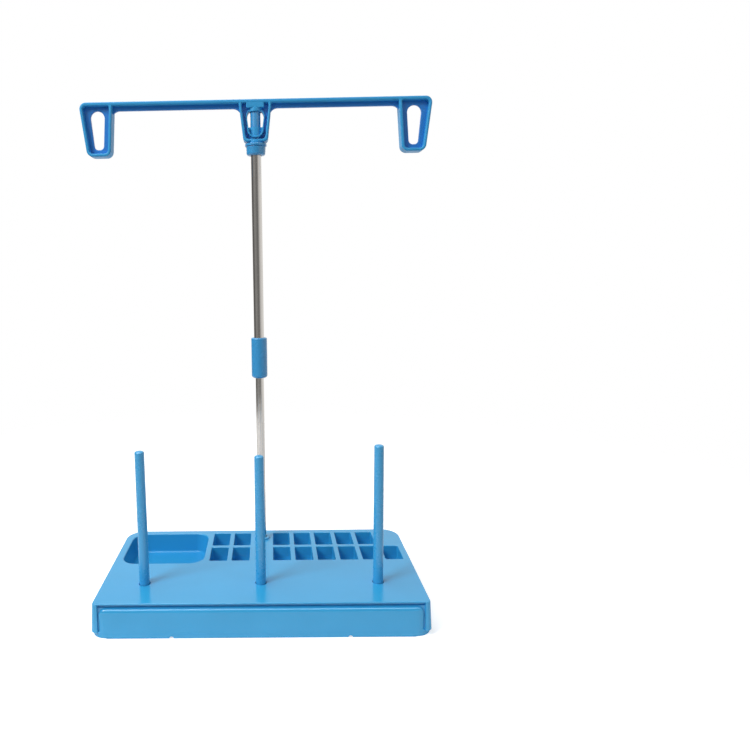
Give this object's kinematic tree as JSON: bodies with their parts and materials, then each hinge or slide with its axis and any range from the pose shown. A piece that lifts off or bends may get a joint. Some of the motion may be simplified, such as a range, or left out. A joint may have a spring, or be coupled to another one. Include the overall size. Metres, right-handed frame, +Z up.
{
  "type": "thread spool stand",
  "caption": "Table stand for sewing thread: a low base with spool pins, bobbin pockets and a tray, and a telescopic mast with a swivelling thread guide bar.",
  "frame": {"origin": "middle of the base's underside, on the table", "axes": "+Z up the mast, +X to the right along the base, +Y to the back where the mast stands"},
  "size_m": [0.2532, 0.1174, 0.3539],
  "materials": {
    "base_plastic": "glossy light blue moulding",
    "pin_plastic": "satin blue moulding",
    "guide_plastic": "glossy blue moulding",
    "tube_steel": "drawn and polished",
    "plug_plastic": "natural nylon"
  },
  "bodies": {
    "base": {"base": "base_plastic"},
    "pin_left": {"spool_pin_left": "pin_plastic"},
    "pin_middle": {"spool_pin_middle": "pin_plastic"},
    "pin_right": {"spool_pin_right": "pin_plastic"},
    "mast_lower": {"mast_lower_tube": "tube_steel", "mast_stop_plug": "plug_plastic"},
    "mast_upper": {"mast_sleeve": "guide_plastic", "mast_upper_tube": "tube_steel", "mast_top_collar": "guide_plastic"},
    "guide": {"thread_guide_bar": "guide_plastic"}
  },
  "joints": [
    {"name": "pin_left_lift", "type": "slide", "parent": "base", "child": "pin_left", "axis": [0, 0, 1], "range_m": [0, 0.025]},
    {"name": "pin_middle_lift", "type": "slide", "parent": "base", "child": "pin_middle", "axis": [0, 0, 1], "range_m": [0, 0.025]},
    {"name": "pin_right_lift", "type": "slide", "parent": "base", "child": "pin_right", "axis": [0, 0, 1], "range_m": [0, 0.025]},
    {"name": "mast_lift", "type": "slide", "parent": "base", "child": "mast_lower", "axis": [0, 0, 1], "range_m": [0, 0.025]},
    {"name": "mast_height", "type": "slide", "parent": "mast_lower", "child": "mast_upper", "axis": [0, 0, 1], "range_m": [-0.125, 0]},
    {"name": "guide_swivel", "type": "hinge", "parent": "mast_upper", "child": "guide", "pos_m": [0, 0.0424, 0.33], "axis": [0, 0, 1], "continuous": true}
  ]
}
